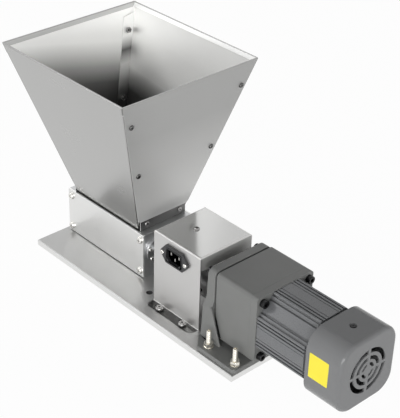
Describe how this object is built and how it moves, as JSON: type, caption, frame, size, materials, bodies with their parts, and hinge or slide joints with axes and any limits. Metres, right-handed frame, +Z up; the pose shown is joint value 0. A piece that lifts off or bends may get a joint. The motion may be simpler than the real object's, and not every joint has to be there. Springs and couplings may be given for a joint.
{
  "type": "electric grain mill",
  "caption": "Two-roller grain mill with a square stainless hopper, driven through a covered jaw coupling by a geared electric motor on a common base plate.",
  "frame": {"origin": "centre of the base plate's underside", "axes": "+X along the base from the mill to the motor, +Y from the near long side with the power inlet to the far side, +Z up"},
  "size_m": [0.5395, 0.211, 0.2843],
  "materials": {
    "base_metal": "brushed",
    "stainless": "brushed",
    "roller_steel": "machined",
    "bright_steel": "polished",
    "black_steel": "black oxide",
    "bronze": "machined",
    "bearing_steel": "ground",
    "cast_grey": "semi-matte paint over cast metal",
    "motor_grey": "semi-matte paint over extruded aluminium",
    "fan_cover_grey": "semi-matte paint over sheet",
    "inlet_black": "moulded",
    "fan_plastic": "moulded",
    "can_plastic": "moulded",
    "lamination": "stacked sheet",
    "copper": "enamelled wire",
    "spider_rubber": "moulded"
  },
  "bodies": {
    "frame": {"base_plate": "base_metal", "mill_end_left": "base_metal", "mill_end_right": "base_metal", "mill_side_front": "stainless", "mill_side_rear": "stainless", "mill_side_screws": "bright_steel", "mill_foot_screws": "bright_steel", "drive_bushes": "bronze", "bearing_caps": "base_metal", "bearing_cap_screws": "bright_steel", "adjuster_lock_screws": "bright_steel", "hopper_front": "stainless", "hopper_rear": "stainless", "hopper_left": "stainless", "hopper_right": "stainless", "hopper_screws": "bright_steel", "hopper_nuts": "bright_steel", "coupling_cover": "stainless", "cover_screws": "bright_steel", "power_inlet": "inlet_black", "inlet_pins": "bright_steel", "inlet_screws": "bright_steel", "inlet_nuts": "bright_steel", "run_capacitor": "can_plastic", "capacitor_clip": "stainless", "clip_screw": "bright_steel", "motor_bracket": "cast_grey", "bracket_studs": "bright_steel", "bracket_nuts": "bright_steel", "bracket_washers": "bright_steel", "bracket_face_screws": "black_steel", "gearbox_housing": "cast_grey", "gear_bearings": "bearing_steel", "motor_flange": "cast_grey", "frame_bolts": "black_steel", "motor_body": "motor_grey", "stator_core": "lamination", "stator_windings": "copper", "rotor_bearings": "bearing_steel", "motor_end_bell": "cast_grey", "fan_cover": "fan_cover_grey", "fan_cover_screws": "black_steel"},
    "drive": {"drive_roller": "roller_steel", "mill_hub": "base_metal", "coupling_spider": "spider_rubber", "motor_hub": "base_metal", "hub_set_screws": "black_steel", "shaft_keys": "roller_steel", "output_shaft": "roller_steel", "output_wheel": "roller_steel"},
    "intermediate": {"intermediate_gear": "roller_steel"},
    "rotor": {"rotor_shaft": "roller_steel", "rotor_core": "lamination", "cooling_fan": "fan_plastic"},
    "idler": {"idler_roller": "roller_steel"},
    "adjuster_left": {"gap_adjuster_left": "bright_steel"},
    "adjuster_right": {"gap_adjuster_right": "bright_steel"}
  },
  "joints": [
    {"name": "drive_spin", "type": "hinge", "parent": "frame", "child": "drive", "pos_m": [-0.1035, -0.019, 0.045], "axis": [1, 0, 0], "continuous": true},
    {"name": "intermediate_spin", "type": "hinge", "parent": "frame", "child": "intermediate", "pos_m": [0.165, -0.00055, 0.0577], "axis": [1, 0, 0], "continuous": true},
    {"name": "rotor_spin", "type": "hinge", "parent": "frame", "child": "rotor", "pos_m": [0.235, -0.019, 0.063], "axis": [1, 0, 0], "continuous": true},
    {"name": "gap_adjust_right", "type": "hinge", "parent": "frame", "child": "adjuster_right", "pos_m": [-0.0335, 0.019, 0.0438], "axis": [1, 0, 0], "range_deg": [-30, 30]},
    {"name": "gap_adjust_left", "type": "hinge", "parent": "frame", "child": "adjuster_left", "pos_m": [-0.1735, 0.019, 0.0438], "axis": [1, 0, 0], "range_deg": [-30, 30]},
    {"name": "idler_spin", "type": "hinge", "parent": "adjuster_right", "child": "idler", "pos_m": [-0.1035, 0.019, 0.045], "axis": [1, 0, 0], "continuous": true}
  ],
  "couplings": [
    {"joint": "rotor_spin", "follows": "drive_spin", "ratio": 9},
    {"joint": "intermediate_spin", "follows": "drive_spin", "ratio": -3},
    {"joint": "gap_adjust_left", "follows": "gap_adjust_right", "ratio": 1}
  ]
}
